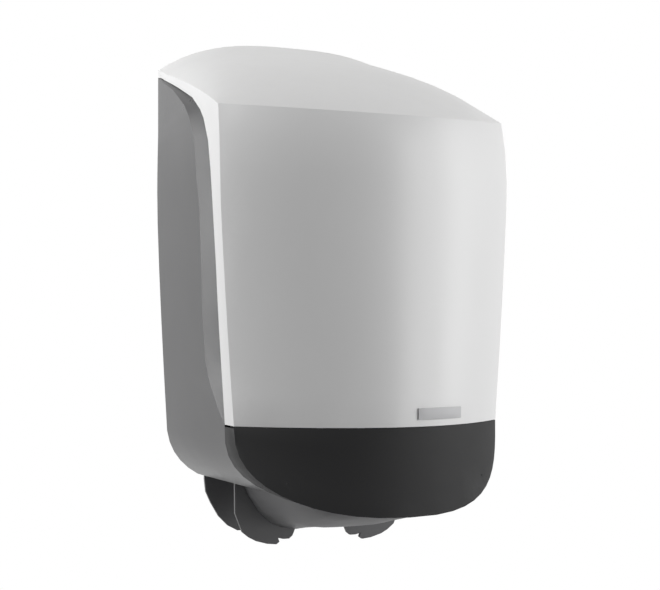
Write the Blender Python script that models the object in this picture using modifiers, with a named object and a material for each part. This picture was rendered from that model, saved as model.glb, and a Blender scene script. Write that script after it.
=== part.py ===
"""Centrefeed roll dispenser for a wall: a crowned cover that hinges at its lower rear, a housing, an outlet.

Metres, +Z up. The origin is the middle of the wall face, the wall is at y = 0 and the front faces -Y.
"""
import math

import bmesh
import bpy

# Outer form of the cover and the housing
HALF_WIDTH = 0.1223
WIDEST_HEIGHT = 0.070
LOW_DRAW = 0.0108
LOW_DRAW_POWER = 1.25
TOP_DRAW = 0.0008
REAR_SPREAD = 0.0028
CORNER_HEIGHT = 0.126
CROWN_HEIGHT = 0.2125
CROWN_DROP = 0.0295
REAR_CORNER_HEIGHT = CROWN_HEIGHT - CROWN_DROP
CROWN_POWER = 2.9
FRONT_SAG = 0.0096
TOP_BULGE = 0.010
TOP_EDGE_BULGE = 0.003
TOP_BULGE_POWER = 12
TOP_BULGE_SKEW = 1.5
SIDE_DEPTH = 0.180
TOP_EDGE_DRAW = 0.0074
BOW = 0.057
SEAM_HEIGHT = -0.116
SKIRT_DROP = 0.065
SKIRT_LIP = 0.014
SKIRT_BOTTOM = SEAM_HEIGHT - SKIRT_DROP
HOUSING_EXTRA_DROP = 0.0036
HOUSING_DROP = SKIRT_DROP + HOUSING_EXTRA_DROP
CORNER_POWER = 2.6
RIDGE_INSET = 0.0368
RIDGE_HALF_WIDTH = HALF_WIDTH - RIDGE_INSET
RIM_MIDDLE = 0.012
RIM_CORNER_EXTRA = 0.016
RIM_CORNER_POWER = 1.5
RIM_SIDE_EXTRA = 0.009

# Walls and clearances
COVER_WALL = 0.0025
PANEL_WALL = 0.0025
PLATE_WALL = 0.003
COVER_REAR_GAP = 0.0015
SEAM_GAP = 0.0005
FIT_GAP = 0.0003
RUNNING_GAP = 0.0004
OVERRUN = 0.002

# Rear edge of the side band and the ridge of the finger scoop, from the top down. Each point is a share of
# BAND_REAR_DEPTH and a share of the height from the seam to the rear corner.
BAND_WIDTH = 0.020
BAND_REAR_DEPTH = SIDE_DEPTH - BAND_WIDTH
BAND_TOP_HEIGHT = 0.005
BAND_LAG_SHARE = 0.85
BAND_SHARES = ((0.0, 0.983), (0.087, 0.967), (0.323, 0.927), (0.646, 0.865), (0.746, 0.838),
               (0.844, 0.795), (0.916, 0.748), (0.952, 0.701), (0.978, 0.646), (1.0, 0.555), (1.008, 0.418),
               (1.0, 0.272), (0.999, 0.161), (0.9985, 0.124), (0.998, 0.087), (0.996, 0.037), (0.994, 0.0))
RIDGE_SHARES = ((0.0, 0.978), (0.06, 0.965), (0.303, 0.915), (0.517, 0.853), (0.6, 0.814), (0.656, 0.778),
                (0.691, 0.745), (0.719, 0.699), (0.744, 0.646), (0.781, 0.555), (0.775, 0.418),
                (0.744, 0.272), (0.759, 0.161), (0.783, 0.127), (0.816, 0.094), (0.9, 0.043), (0.981, 0.003))
SCOOP_SHARES = (0.0, 0.0, 0.25, 0.6, 0.8, 0.92, 1.0, 1.0, 1.0, 1.0, 1.0, 1.0, 1.0, 1.0, 0.62, 0.25, 0.0)
SCOOP_DEPTH = 0.0135
SCOOP_POWER = 1.3
SCOOP_TUCK_SHARE = 0.2
PANEL_TOP_GAP = 0.0012
PANEL_REAR_GAP = 0.0006
PANEL_TOP_STATION_SHARE = 0.6
PANEL_TAB_HEIGHTS = (0.060, -0.040)
PANEL_TAB_HEIGHT = 0.014
PANEL_TAB_INSET = 0.0183
PANEL_SCREW_INSET = 0.0138

# Wall plate, whose tongue points are shares of its half width and of its drop below the seam
TONGUE_INSET = 0.0423
TONGUE_HALF_WIDTH = HALF_WIDTH - TONGUE_INSET
TONGUE_EXTRA_DROP = 0.0367
TONGUE_DROP = HOUSING_DROP + TONGUE_EXTRA_DROP
TONGUE_SHARES = ((1.0, 0.555), (0.985, 0.66), (0.93, 0.753), (0.84, 0.87), (0.73, 0.955), (0.62, 1.0))
PLATE_MARGIN = 0.0031
PLATE_TOP_MARGIN = 0.0053
WALL_HOLE = 0.0055
WALL_HOLE_INSET = 0.0523
WALL_HOLE_X = HALF_WIDTH - WALL_HOLE_INSET
WALL_HOLE_HEIGHTS = (0.130, -0.100)
PAD_DIAMETER = 0.016
PAD_RISE = 0.0015
RIB_ROW_X = (-0.036, 0.0, 0.036)
RIB_WALL = 0.002
RIB_RISE = 0.005
RIB_TOP_MARGIN = 0.050
RIB_BOTTOM_GAP = 0.006

# Roll tray and nozzle
TRAY_RISE = 0.034
TRAY_TOP = SKIRT_BOTTOM + TRAY_RISE
TRAY_WALL = 0.003
TRAY_INSET = 0.0258
TRAY_HALF_WIDTH = HALF_WIDTH - TRAY_INSET
TRAY_FRONT_GAP = 0.010
TRAY_FLANGE_HEIGHT = 0.022
NOZZLE_SETBACK = 0.076
NOZZLE_Y = NOZZLE_SETBACK - SIDE_DEPTH
NOZZLE_HOLE = 0.070
NOZZLE_RIM = 0.007
NOZZLE_LIP = 0.002
NOZZLE_DROP = 0.038
NOZZLE_SLEEVE = 0.005
NOZZLE_MOUTH = 0.032
NOZZLE_WALL = 0.0025
MEMBRANE_WALL = 0.0016
MEMBRANE_BORE = 0.007
SLIT_WIDTH = 0.0006
SLIT_LENGTH = 0.025
RING_WALL = 0.0022
RING_OVERLAP = 0.004
RING_LIP = 0.002

# Cover hinge, whose arms run close inside the side panels
HINGE_Y = -0.030
HINGE_RISE = 0.019
HINGE_Z = SKIRT_BOTTOM + HINGE_RISE
PIN_DIAMETER = 0.005
PIN_HEAD = 0.009
PIN_HEAD_LENGTH = 0.002
BUSH_WALL = 0.0014
ARM_WALL = 0.004
ARM_PANEL_GAP = 0.0017
ARM_INNER_X = RIDGE_HALF_WIDTH - PANEL_WALL - ARM_PANEL_GAP - ARM_WALL
ARM_HEIGHT = 0.0115
ARM_EYE_RADIUS = 0.0085
ARM_EYE_DROP = 0.0054
BOSS_WALL = 0.005
BOSS_LENGTH = 0.018
BOSS_MARGIN = 0.008

# Chin below the tray. Its ribs, from the front backwards, are a depth share of SIDE_DEPTH and a share of
# CHIN_DROP below the tray.
ARM_CHIN_GAP = 0.0008
CHIN_HALF_WIDTH = ARM_INNER_X - ARM_CHIN_GAP
CHIN_WALL = 0.0025
CHIN_FRONT_GAP = 0.005
CHIN_TOP_GAP = 0.0015
CHIN_REAR_GAP = 0.0006
CHIN_RISE = 0.003
CHIN_POWER = 4.0
CHIN_DROP = 0.0605
CHIN_RIB_SHARES = ((1.1, 0.62), (0.889, 0.76), (0.767, 0.843), (0.667, 0.876), (0.55, 0.93))
CHIN_COLUMN_SHARES = (0.43, 0.58, 0.72, 0.84, 0.93, 1.0)
OUTLET_HALF_WIDTH = 0.022
CHIN_POST_X = 0.030
CHIN_POST_DIAMETER = 0.008
CHIN_POST_RIB = 1
CHIN_POST_SINK = 0.0016
CHIN_SCREW_LENGTH = 0.014

# Notched tear ears, whose points are shares of the half width and of the drop below the tray
EAR_LAP = 0.0055
EAR_Y = NOZZLE_Y + NOZZLE_HOLE / 2 - EAR_LAP
EAR_WALL = 0.003
EAR_HALF_WIDTH = CHIN_HALF_WIDTH
EAR_DROP = 0.0734
EAR_SHARES = ((1.0, 0.0), (0.994, 0.622), (0.912, 0.838), (0.831, 0.906), (0.751, 0.95), (0.623, 0.988),
              (0.514, 1.0), (0.478, 0.973), (0.494, 0.929), (0.435, 0.943), (0.365, 0.943), (0.325, 0.909),
              (0.292, 0.827), (0.292, 0.0))
EAR_TAB_SHARES = (0.46, 0.8)
EAR_TAB_RISE = 0.005

# Lock at the right rear corner: the bar's heights follow the cover's top, all others the skirt's bottom
LOCK_INSET = 0.0268
LOCK_X = HALF_WIDTH - LOCK_INSET
BAR_Y = -0.0175
BAR_WIDTH = 0.008
BAR_THICK = 0.004
NOSE_HEIGHT = 0.006
BRACKET_RISE = 0.037
BRACKET_BOTTOM = SKIRT_BOTTOM + BRACKET_RISE
BRACKET_HEIGHT = 0.066
BRACKET_TOP = BRACKET_BOTTOM + BRACKET_HEIGHT
BRACKET_WALL = 0.003
BRACKET_WIDTH = 0.016
BRACKET_UPPER_REACH = 0.0175
COLLAR_WIDTH = 0.013
COLLAR_DEPTH = 0.012
COLLAR_HEIGHT = 0.003
SPRING_ROOM = 0.034
COLLAR_BOTTOM = BRACKET_TOP - SPRING_ROOM
BAR_DROP = 0.006
BAR_BOTTOM = BRACKET_BOTTOM - BAR_DROP
BUTTON_DIAMETER = 0.010
BUTTON_HEIGHT = 0.021
BUTTON_EDGE = 0.0008
BUTTON_BOTTOM = BAR_BOTTOM - BUTTON_HEIGHT
KEY_Y = -0.044
KEY_DIAMETER = 0.011
KEY_RISE = 0.012
KEY_BOTTOM = SKIRT_BOTTOM + KEY_RISE
KEY_STANDOFF = 0.001
KEY_TOP = BRACKET_BOTTOM + BRACKET_WALL + KEY_STANDOFF
KEY_SLOT_WIDTH = 0.0016
KEY_SLOT_DEPTH = 0.003
KEY_MARGIN = 0.0065
BRACKET_DEPTH = KEY_DIAMETER / 2 + KEY_MARGIN - KEY_Y
CAM_BAR_GAP = 0.0025
CAM_WIDTH = 0.009
CAM_WALL = 0.002
SPRING_WIRE = 0.0011
SPRING_COIL = 0.0115
SPRING_TURNS = 6
SPRING_TURN_POINTS = 10
GUIDE_DROP = 0.060
GUIDE_HEIGHT = 0.008
GUIDE_FRONT_WALL = 0.0034
GUIDE_FOOT_RISE = 0.016
CATCH_GAP = 0.0004
CATCH_REACH = 0.009
CATCH_Y = BAR_Y - CATCH_REACH
CATCH_WALL = 0.0025
CATCH_WIDTH = 0.016
CATCH_HEIGHT = 0.0265
CATCH_HEADROOM = 0.0213
CATCH_FOOT = 0.012
CATCH_SCREW_LENGTH = 0.0070
BAR_TOP_DROP = 0.0165

# The tray is notched beside the lock bracket
NOTCH_SIDE_GAP = 0.0013
NOTCH_FRONT_GAP = 0.004
TRAY_REAR_HALF_WIDTH = LOCK_X - BRACKET_WIDTH / 2 - NOTCH_SIDE_GAP
TRAY_NOTCH_DEPTH = BRACKET_DEPTH + NOTCH_FRONT_GAP

# Lugs on the skirt that lie inside the cover's side bands
LUG_GAP = 0.0005
LUG_WALL = 0.003
LUG_FRONT_INSET = 0.001
LUG_FRONT = SIDE_DEPTH - LUG_FRONT_INSET
LUG_LENGTH = 0.0165
LUG_RISE = 0.016
LUG_DROP = 0.020

# Screws and label
SCREW_SHANK = 0.0035
SCREW_HEAD = 0.007
SCREW_HEAD_HEIGHT = 0.0022
SCREW_END_GAP = 0.0006
TRAY_SCREW_SHARES = (-0.8, -0.32, 0.32, 0.8)
TRAY_SCREW_RISE = 0.013
BRACKET_SCREW_RISES = (0.018, 0.048)
GUIDE_SCREW_RISE = 0.016
LABEL_X = 0.0355
LABEL_RISE = 0.0094
LABEL_WIDTH = 0.0430
LABEL_HEIGHT = 0.0086
LABEL_WALL = 0.0008

# Mesh density
ACROSS = 12
TOP_ROWS = 7
FRONT_ROWS = 10
BAND_STEPS = 2
SCOOP_STEPS = 4
SIDE_STEPS = 2
SKIRT_COLUMNS = 12
SKIRT_ROWS = 4
RIM_ROWS = 2
CORNER_ROWS = 6
PLATE_SIDE_ROWS = 6
LABEL_STEPS = 5
TURN_STEPS = 32
SMALL_STEPS = 20
STATION_STEPS = 40
LAST_TURN_SHARE = 0.9944
MERGE_DISTANCE = 0.00001

parts = None
cutters = None


def clear_scene():
    for old in list(bpy.data.objects):
        bpy.data.objects.remove(old, do_unlink=True)


def new_collection(name):
    made = bpy.data.collections.new(name)
    bpy.context.scene.collection.children.link(made)
    return made


def make_material(name, colour, roughness, metallic=0.0):
    material = bpy.data.materials.new(name)
    material.use_nodes = True
    shader = material.node_tree.nodes["Principled BSDF"]
    shader.inputs["Base Color"].default_value = (*colour, 1.0)
    shader.inputs["Roughness"].default_value = roughness
    shader.inputs["Metallic"].default_value = metallic
    return material


def add_object(name, data, material, home=None):
    made = bpy.data.objects.new(name, data)
    (home or parts).objects.link(made)
    if material is not None:
        data.materials.append(material)
    return made


def smooth(mesh, angle_share=0.2):
    mesh.shade_smooth()
    mesh.set_sharp_from_angle(angle=angle_share * math.pi)


def as_cutter(made):
    for home in list(made.users_collection):
        home.objects.unlink(made)
    cutters.objects.link(made)
    made.hide_render = True
    made.display_type = "WIRE"
    return made


def boolean(made, other, operation):
    step = made.modifiers.new(operation.lower() + "_" + other.name, "BOOLEAN")
    step.operation = operation
    step.object = as_cutter(other)
    step.solver = "EXACT"


def box(name, low, high, material, home=None):
    mesh = bpy.data.meshes.new(name)
    shape = bmesh.new()
    bmesh.ops.create_cube(shape, size=1.0)
    sides = [top - bottom for bottom, top in zip(low, high)]
    bmesh.ops.scale(shape, vec=sides, verts=shape.verts)
    shape.to_mesh(mesh)
    shape.free()
    made = add_object(name, mesh, material, home)
    made.location = [(top + bottom) / 2 for bottom, top in zip(low, high)]
    return made


def turned(name, profile, place, material, along="Z", steps=TURN_STEPS):
    """A profile of (radius, height) points, from the top down the outer side, turned about Z, X or Y."""
    mesh = bpy.data.meshes.new(name)
    points = [(radius, 0.0, height) for radius, height in profile]
    edges = [(index, index + 1) for index in range(len(points) - 1)]
    if profile[0][0] > 0:
        edges.append((len(points) - 1, 0))
    mesh.from_pydata(points, edges, [])
    made = add_object(name, mesh, material)
    screw = made.modifiers.new("turn", "SCREW")
    screw.steps = steps
    screw.render_steps = steps
    screw.use_merge_vertices = True
    screw.merge_threshold = MERGE_DISTANCE
    screw.use_smooth_shade = True
    made.location = place
    if along == "X":
        made.rotation_euler = (0.0, math.pi / 2, 0.0)
    if along == "Y":
        made.rotation_euler = (math.pi / 2, 0.0, 0.0)
    return made


def ring_profile(inner, outer, bottom, top):
    return [(inner, top), (outer, top), (outer, bottom), (inner, bottom)]


def rod_profile(radius, bottom, top):
    return [(0.0, top), (radius, top), (radius, bottom), (0.0, bottom)]


def flat_outline(name, outline, wall, material, facing, offset, holes=()):
    """A flat outline made solid. Facing Y lies in X and Z, facing X lies in Y and Z, facing Z in X and Y."""
    curve = bpy.data.curves.new(name, "CURVE")
    curve.dimensions = "2D"
    curve.fill_mode = "BOTH"
    curve.extrude = wall / 2
    for loop in (outline, *holes):
        spline = curve.splines.new("POLY")
        spline.points.add(len(loop) - 1)
        for point, (across, up) in zip(spline.points, loop):
            point.co = (across, up, 0.0, 1.0)
        spline.use_cyclic_u = True
    drawn = add_object(name + "_outline", curve, None)
    if facing == "Y":
        drawn.rotation_euler = (math.pi / 2, 0.0, 0.0)
        drawn.location = (0.0, offset, 0.0)
    elif facing == "X":
        drawn.rotation_euler = (math.pi / 2, 0.0, math.pi / 2)
        drawn.location = (offset, 0.0, 0.0)
    else:
        drawn.location = (0.0, 0.0, offset)
    bpy.context.view_layer.update()
    evaluated = drawn.evaluated_get(bpy.context.evaluated_depsgraph_get())
    mesh = bpy.data.meshes.new_from_object(evaluated)
    mesh.name = name
    shape = bmesh.new()
    shape.from_mesh(mesh)
    bmesh.ops.remove_doubles(shape, verts=shape.verts, dist=MERGE_DISTANCE)
    shape.to_mesh(mesh)
    shape.free()
    made = add_object(name, mesh, material)
    made.matrix_world = drawn.matrix_world
    bpy.data.objects.remove(drawn, do_unlink=True)
    return made


def circle(centre, diameter, steps=SMALL_STEPS):
    turn = 2 * math.pi / steps
    return [(centre[0] + diameter / 2 * math.cos(turn * index),
             centre[1] + diameter / 2 * math.sin(turn * index)) for index in range(steps)]


def shell(name, rows, wall, material, mirrored=False, skipped=()):
    """A grid of points whose faces look outwards, thickened inwards."""
    mesh = bpy.data.meshes.new(name)
    columns = len(rows[0])
    points = [point for row in rows for point in row]
    faces = []
    for row in range(len(rows) - 1):
        for column in range(columns - 1):
            if (row, column) in skipped:
                continue
            first = row * columns + column
            faces.append((first, first + columns, first + columns + 1, first + 1))
    mesh.from_pydata(points, [], faces)
    smooth(mesh)
    made = add_object(name, mesh, material)
    if mirrored:
        mirror = made.modifiers.new("mirror", "MIRROR")
        mirror.merge_threshold = MERGE_DISTANCE
    solid = made.modifiers.new("wall", "SOLIDIFY")
    solid.thickness = wall
    solid.offset = -1.0
    solid.use_even_offset = True
    return made


def blend(low, high, share):
    return low + (high - low) * share


def width_at(height):
    """Half width of the cover at a height."""
    if height >= WIDEST_HEIGHT:
        share = min((height - WIDEST_HEIGHT) / (CORNER_HEIGHT - WIDEST_HEIGHT), 1.0)
        return HALF_WIDTH - TOP_DRAW * share ** 2
    share = (WIDEST_HEIGHT - height) / (WIDEST_HEIGHT - SEAM_HEIGHT)
    return HALF_WIDTH - LOW_DRAW * min(share, 1.0) ** LOW_DRAW_POWER


def side_depth_at(height):
    """Depth of the cover's front corner line at a height."""
    share = max(height - WIDEST_HEIGHT, 0.0) / (CORNER_HEIGHT - WIDEST_HEIGHT)
    return SIDE_DEPTH - TOP_EDGE_DRAW * min(share, 1.0) ** 2


def housing_width_at(height, depth):
    """Half width of the housing: it spreads a little towards the wall below the widest height."""
    share = min(max(WIDEST_HEIGHT - height, 0.0) / (WIDEST_HEIGHT - SEAM_HEIGHT), 1.0)
    return width_at(height) + REAR_SPREAD * share * (1 - depth / SIDE_DEPTH)


def front_depth(across, height):
    """Depth of the bowed front at a place."""
    wide = width_at(height)
    lip = min(max(SEAM_HEIGHT - height, 0.0) / SKIRT_DROP, 1.0)
    return side_depth_at(height) + BOW * (1 - (across / wide) ** 2) + SKIRT_LIP * lip ** 2


def crown_at(across):
    share = min(abs(across) / width_at(CORNER_HEIGHT), 1.0)
    return CROWN_HEIGHT - CROWN_DROP * share ** CROWN_POWER


def front_edge_at(across):
    share = min(abs(across) / width_at(CORNER_HEIGHT), 1.0)
    return CORNER_HEIGHT - FRONT_SAG * (1 - share ** 2)


def top_height(across, forward_share):
    """Height of the top: forward_share runs from the wall to the front edge."""
    straight = blend(crown_at(across), front_edge_at(across), forward_share)
    side_share = min(abs(across) / width_at(CORNER_HEIGHT), 1.0)
    bulge = blend(TOP_BULGE, TOP_EDGE_BULGE, side_share ** TOP_BULGE_POWER)
    peak_share = TOP_BULGE_SKEW / (TOP_BULGE_SKEW + 1)
    rise_share = (forward_share / peak_share) ** TOP_BULGE_SKEW * (1 - forward_share) / (1 - peak_share)
    return straight + bulge * rise_share


def rounded_corner(half_width, drop, turn):
    """A point on a rounded lower corner: turn runs from 0 at the middle to pi/2 at the side."""
    power = 2 / CORNER_POWER
    return half_width * math.sin(turn) ** power, SEAM_HEIGHT - drop * max(math.cos(turn), 0.0) ** power


def corner_turn(half_width, across):
    """Turn at which a rounded lower corner reaches a half width."""
    return math.asin((across / half_width) ** (CORNER_POWER / 2))


def interpolate(table, position):
    first = min(int(position), len(table) - 2)
    return [blend(low, high, position - first) for low, high in zip(table[first], table[first + 1])]


def edge_point(table, station):
    """Depth and height on an edge of the side, at a station that counts the table's points."""
    depth_share, height_share = interpolate(table, station)
    return BAND_REAR_DEPTH * depth_share, blend(SEAM_HEIGHT, REAR_CORNER_HEIGHT, height_share)


def station_where(table, reached):
    """First station, in small steps, whose (depth, height) satisfies reached."""
    for index in range(STATION_STEPS * (len(table) - 1) + 1):
        station = index / STATION_STEPS
        if reached(*edge_point(table, station)):
            return station
    return float(len(table) - 1)


def rim_width_at(turn):
    """Width of the skirt's rim, from its front edge backwards."""
    corner_share = max(math.sin(2 * turn), 0.0) ** RIM_CORNER_POWER
    return RIM_MIDDLE + RIM_CORNER_EXTRA * corner_share + RIM_SIDE_EXTRA * math.sin(turn) ** 2


def rim_rear_at(turn):
    """Depth of the rear edge of the skirt's rim."""
    across, height = rounded_corner(width_at(SEAM_HEIGHT), SKIRT_DROP, turn)
    return front_depth(across, height) - rim_width_at(turn)


def corner_point(depth, turn):
    """Point of the rounded lower corner at a depth: the housing is a little larger than the skirt."""
    rear_share = max(1 - depth / SIDE_DEPTH, 0.0)
    half_width = width_at(SEAM_HEIGHT) + REAR_SPREAD * rear_share
    across, height = rounded_corner(half_width, blend(SKIRT_DROP, HOUSING_DROP, rear_share), turn)
    return across, -depth, height


def band_columns(edge, station):
    """Points from a side edge of the cover, without that edge, back to the rear edge of the band."""
    depth, height = edge_point(BAND_SHARES, station)
    end = (housing_width_at(height, depth), -max(depth, COVER_REAR_GAP), height)
    return [tuple(blend(low, high, step / BAND_STEPS) for low, high in zip(edge, end))
            for step in range(1, BAND_STEPS + 1)]


def cover_rows():
    rows = []
    top_depth = side_depth_at(CORNER_HEIGHT)
    for index in range(TOP_ROWS + 1):
        forward = index / TOP_ROWS
        row = []
        for column in range(ACROSS + 1):
            across = width_at(CORNER_HEIGHT) * column / ACROSS
            depth = max(forward * front_depth(across, CORNER_HEIGHT), COVER_REAR_GAP)
            row.append((across, -depth, top_height(across, forward)))
        if index < TOP_ROWS:
            lag = BAND_LAG_SHARE * forward * top_depth
            station = station_where(BAND_SHARES, lambda depth, height: depth >= lag)
        else:
            limit = CORNER_HEIGHT - BAND_TOP_HEIGHT
            station = station_where(BAND_SHARES, lambda depth, height: height <= limit)
        rows.append(row + band_columns(row[-1], station))
    for index in range(1, FRONT_ROWS + 1):
        share = index / FRONT_ROWS
        row = []
        for column in range(ACROSS + 1):
            across_share = column / ACROSS
            top = front_edge_at(width_at(CORNER_HEIGHT) * across_share)
            height = blend(top, SEAM_HEIGHT, share)
            across = width_at(height) * across_share
            row.append((across, -front_depth(across, height), height))
        edge_height = row[-1][2]
        station = station_where(BAND_SHARES, lambda depth, height: height <= edge_height)
        rows.append(row + band_columns(row[-1], station))
    return rows


def make_cover_shell(white):
    return shell("cover_shell", cover_rows(), COVER_WALL, white, mirrored=True)


def skirt_rows():
    top = SEAM_HEIGHT - FIT_GAP
    turns = [math.pi / 2 * column / SKIRT_COLUMNS for column in range(SKIRT_COLUMNS)]
    turns.append(math.pi / 2 * LAST_TURN_SHARE)
    rows = []
    for index in range(SKIRT_ROWS + 1):
        row = []
        for turn in turns:
            across, bottom = rounded_corner(width_at(SEAM_HEIGHT), SKIRT_DROP, turn)
            height = blend(top, bottom, index / SKIRT_ROWS)
            row.append((across, -front_depth(across, height), height))
        rows.append(row)
    for index in range(1, RIM_ROWS + 1):
        row = []
        for turn, front in zip(turns, rows[SKIRT_ROWS]):
            depth = blend(-front[1], rim_rear_at(turn), index / RIM_ROWS)
            row.append(corner_point(depth, turn))
        rows.append(row)
    return rows


def arm_front():
    """Depth of the hinge arms' front end, inside the skirt's wall, and the height of its underside."""
    across = ARM_INNER_X + ARM_WALL / 2
    turn = corner_turn(width_at(SEAM_HEIGHT), across)
    bottom = rounded_corner(width_at(SEAM_HEIGHT), SKIRT_DROP, turn)[1] + COVER_WALL / 2
    return front_depth(across, bottom + ARM_HEIGHT / 2) - COVER_WALL, bottom


def arm_outline():
    """Side view of a hinge arm: a round eye at the pin and a bar forward to the skirt's rim."""
    reach, bottom = arm_front()
    start = math.pi - math.asin((ARM_HEIGHT - ARM_EYE_DROP) / ARM_EYE_RADIUS)
    end = math.asin(ARM_EYE_DROP / ARM_EYE_RADIUS) - math.pi
    eye = []
    for index in range(SMALL_STEPS + 1):
        turn = blend(start, end, index / SMALL_STEPS)
        eye.append((HINGE_Y + ARM_EYE_RADIUS * math.cos(turn), HINGE_Z + ARM_EYE_RADIUS * math.sin(turn)))
    return eye + [(-reach, bottom), (-reach, bottom + ARM_HEIGHT)]


def bush_radii():
    inner = PIN_DIAMETER / 2 + FIT_GAP
    return inner, inner + BUSH_WALL


def make_skirt(black):
    skirt = shell("cover_skirt", skirt_rows(), COVER_WALL, black, mirrored=True)
    lug_outer = width_at(SEAM_HEIGHT) - COVER_WALL - LUG_GAP
    for side in (-1, 1):
        low, high = sorted((side * (lug_outer - LUG_WALL), side * lug_outer))
        lug = box("skirt_lug", (low, -LUG_FRONT, SEAM_HEIGHT - LUG_DROP),
                  (high, LUG_LENGTH - LUG_FRONT, SEAM_HEIGHT + LUG_RISE), None)
        boolean(skirt, lug, "UNION")
    bore = 2 * (bush_radii()[1] + FIT_GAP)
    for side, label in ((-1, "left"), (1, "right")):
        arm = flat_outline("hinge_arm_" + label, arm_outline(), ARM_WALL, None, "X",
                           side * (ARM_INNER_X + ARM_WALL / 2), holes=(circle((HINGE_Y, HINGE_Z), bore),))
        boolean(skirt, arm, "UNION")
    return skirt


def make_label(grey):
    rows = []
    for up in (1, -1):
        height = SEAM_HEIGHT + LABEL_RISE + up * LABEL_HEIGHT / 2
        row = []
        for index in range(LABEL_STEPS + 1):
            across = LABEL_X + LABEL_WIDTH * (index / LABEL_STEPS - 1 / 2)
            row.append((across, -front_depth(across, height) - FIT_GAP - LABEL_WALL, height))
        rows.append(row)
    return shell("label_plate", rows, LABEL_WALL, grey)


def scoop_point(station, share):
    """A point of the finger scoop: share 0 on its ridge and 1 where the band's edge overhangs it."""
    depth_low, height_low = edge_point(RIDGE_SHARES, station)
    depth_high, height_high = edge_point(BAND_SHARES, station)
    scooped = SCOOP_SHARES[int(station)]
    reach = share * (1 + SCOOP_TUCK_SHARE * scooped ** 2)
    depth = blend(depth_low, depth_high - SEAM_GAP, reach)
    height = blend(height_low, height_high - SEAM_GAP, reach)
    inset = SCOOP_DEPTH * scooped * (1 - (1 - share) ** SCOOP_POWER)
    return housing_width_at(height, depth) - inset, -depth, height


def panel_rows():
    rows = []
    rear_top = edge_point(BAND_SHARES, 0)[1] - PANEL_TOP_GAP
    for station in (PANEL_TOP_STATION_SHARE, *range(1, len(BAND_SHARES))):
        depth, ridge_height = edge_point(RIDGE_SHARES, station)
        wall_height = rear_top if station < 1 else ridge_height
        row = []
        for step in range(SIDE_STEPS):
            back = blend(PANEL_REAR_GAP, depth, step / SIDE_STEPS)
            height = blend(wall_height, ridge_height, step / SIDE_STEPS)
            row.append((housing_width_at(height, back), -back, height))
        row += [scoop_point(station, step / SCOOP_STEPS) for step in range(SCOOP_STEPS + 1)]
        rows.append(row)
    last_turn = corner_turn(width_at(SEAM_HEIGHT) + REAR_SPREAD, RIDGE_HALF_WIDTH)
    columns = SIDE_STEPS + SCOOP_STEPS
    for index in range(1, CORNER_ROWS + 1):
        turn = blend(math.pi / 2, last_turn, index / CORNER_ROWS)
        front = rim_rear_at(turn) - SEAM_GAP
        rows.append([corner_point(blend(PANEL_REAR_GAP, front, column / columns), turn)
                     for column in range(columns + 1)])
    return rows


def make_side_panels(dark, steel, plate):
    made = []
    for side, label in ((-1, "left"), (1, "right")):
        rows = [[(side * across, depth, height) for across, depth, height in row] for row in panel_rows()]
        if side > 0:
            rows = [row[::-1] for row in rows]
        panel = shell("side_panel_" + label, rows, PANEL_WALL, dark)
        made.append(panel)
        front = PLATE_WALL + FIT_GAP + PANEL_WALL
        for index, height in enumerate(PANEL_TAB_HEIGHTS, start=1):
            bottom, top = height - PANEL_TAB_HEIGHT / 2, height + PANEL_TAB_HEIGHT / 2
            outer = housing_width_at(bottom, front) - PANEL_WALL / 2
            low, high = sorted((side * (HALF_WIDTH - PANEL_TAB_INSET), side * outer))
            tab = box("panel_tab", (low, -front, bottom), (high, PANEL_WALL - front, top), None)
            boolean(panel, tab, "UNION")
            fasten("panel_screw_%s_%d" % (label, index), side * (HALF_WIDTH - PANEL_SCREW_INSET), front,
                   height, (panel, plate), steel)
    return made


def plate_half_outline():
    """Right half of the wall plate, from the crown down to the foot of the tongue."""
    points = []
    for index in range(ACROSS + 1):
        across = (width_at(CORNER_HEIGHT) - PLATE_MARGIN) * index / ACROSS
        points.append((across, crown_at(across) - PLATE_TOP_MARGIN))
    for index in range(1, PLATE_SIDE_ROWS + 1):
        height = blend(points[ACROSS][1], SEAM_HEIGHT, index / PLATE_SIDE_ROWS)
        points.append((housing_width_at(height, 0.0) - PLATE_MARGIN, height))
    wide = width_at(SEAM_HEIGHT) + REAR_SPREAD - PLATE_MARGIN
    last_turn = corner_turn(wide, RIDGE_HALF_WIDTH + 2 * PLATE_MARGIN)
    for index in range(1, CORNER_ROWS + 1):
        turn = blend(math.pi / 2, last_turn, index / CORNER_ROWS)
        points.append(rounded_corner(wide, HOUSING_DROP - PLATE_MARGIN, turn))
    points.append((TONGUE_HALF_WIDTH, points[-1][1] - PLATE_MARGIN / 2))
    for wide_share, drop_share in TONGUE_SHARES:
        points.append((TONGUE_HALF_WIDTH * wide_share, SEAM_HEIGHT - TONGUE_DROP * drop_share))
    return points


def make_back_plate(dark):
    half = plate_half_outline()
    outline = half + [(-across, height) for across, height in reversed(half) if across > 0]
    holes = [circle((side * WALL_HOLE_X, height), WALL_HOLE)
             for height in WALL_HOLE_HEIGHTS for side in (-1, 1)]
    plate = flat_outline("back_plate", outline, PLATE_WALL, dark, "Y", -PLATE_WALL / 2, holes)
    for height in WALL_HOLE_HEIGHTS:
        for side in (-1, 1):
            pad = turned("wall_pad", ring_profile(WALL_HOLE / 2, PAD_DIAMETER / 2, PLATE_WALL / 2,
                                                  PLATE_WALL + PAD_RISE),
                         (side * WALL_HOLE_X, 0.0, height), None, along="Y")
            boolean(plate, pad, "UNION")
    bottom = TRAY_TOP + TRAY_FLANGE_HEIGHT + RIB_BOTTOM_GAP
    for across in RIB_ROW_X:
        rib = box("plate_rib", (across - RIB_WALL / 2, -PLATE_WALL - RIB_RISE, bottom),
                  (across + RIB_WALL / 2, -PLATE_WALL / 2, CROWN_HEIGHT - RIB_TOP_MARGIN), None)
        boolean(plate, rib, "UNION")
    return plate


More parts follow.
